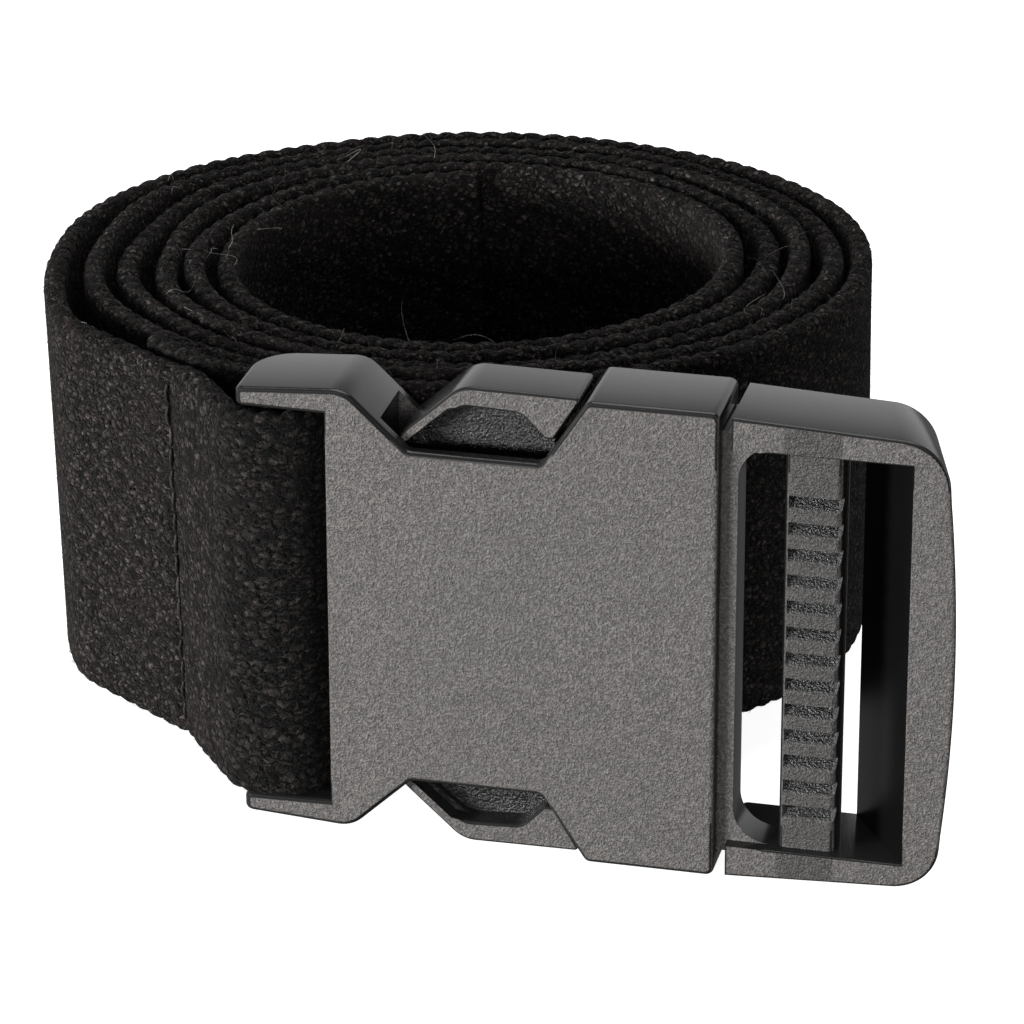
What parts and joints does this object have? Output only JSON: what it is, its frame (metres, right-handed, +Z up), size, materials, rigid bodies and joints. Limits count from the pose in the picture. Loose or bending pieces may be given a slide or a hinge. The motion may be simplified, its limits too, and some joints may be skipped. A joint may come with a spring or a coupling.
{
  "type": "dive weight belt",
  "caption": "Wide black webbing dive weight belt wound into a coil, its end sewn round a side-release buckle with a toothed web adjuster.",
  "frame": {"origin": "bottom centre of the bounding box: the belt stands on the lower edge of its buckle", "axes": "+X runs along the buckle from the sewn loop to the plug, +Y goes from the buckle's face back into the coil, +Z is up along the webbing's width"},
  "size_m": [0.1274, 0.1063, 0.0614],
  "materials": {
    "webbing": "coarse woven black webbing, slightly fuzzy",
    "thread": "black bonded sewing thread",
    "buckle_plastic": "spark-eroded grain on the faces, smoother sides"
  },
  "bodies": {
    "strap": {"webbing_strap": "webbing", "seam_needle_thread": "thread", "seam_bobbin_thread": "thread"},
    "socket": {"buckle_socket": "buckle_plastic"},
    "plug": {"buckle_plug": "buckle_plastic"},
    "upper_arm": {"upper_release_arm": "buckle_plastic"},
    "lower_arm": {"lower_release_arm": "buckle_plastic"}
  },
  "joints": [
    {"name": "socket_swivel", "type": "hinge", "parent": "strap", "child": "socket", "pos_m": [-0.0215, -0.04565, 0.0307], "axis": [0, 0, 1], "range_deg": [-45, 0]},
    {"name": "plug_slide", "type": "slide", "parent": "socket", "child": "plug", "axis": [1, 0, 0], "range_m": [0, 0.045], "deforming": ["upper_release_arm", "lower_release_arm"]},
    {"name": "upper_arm_press", "type": "hinge", "parent": "plug", "child": "upper_arm", "pos_m": [0.0299, -0.04565, 0.0497], "axis": [0, -1, 0], "range_deg": [0, 12], "stiffness_Nm_per_rad": 0.8},
    {"name": "lower_arm_press", "type": "hinge", "parent": "plug", "child": "lower_arm", "pos_m": [0.0299, -0.04565, 0.0117], "axis": [0, 1, 0], "range_deg": [0, 12], "stiffness_Nm_per_rad": 0.8}
  ]
}
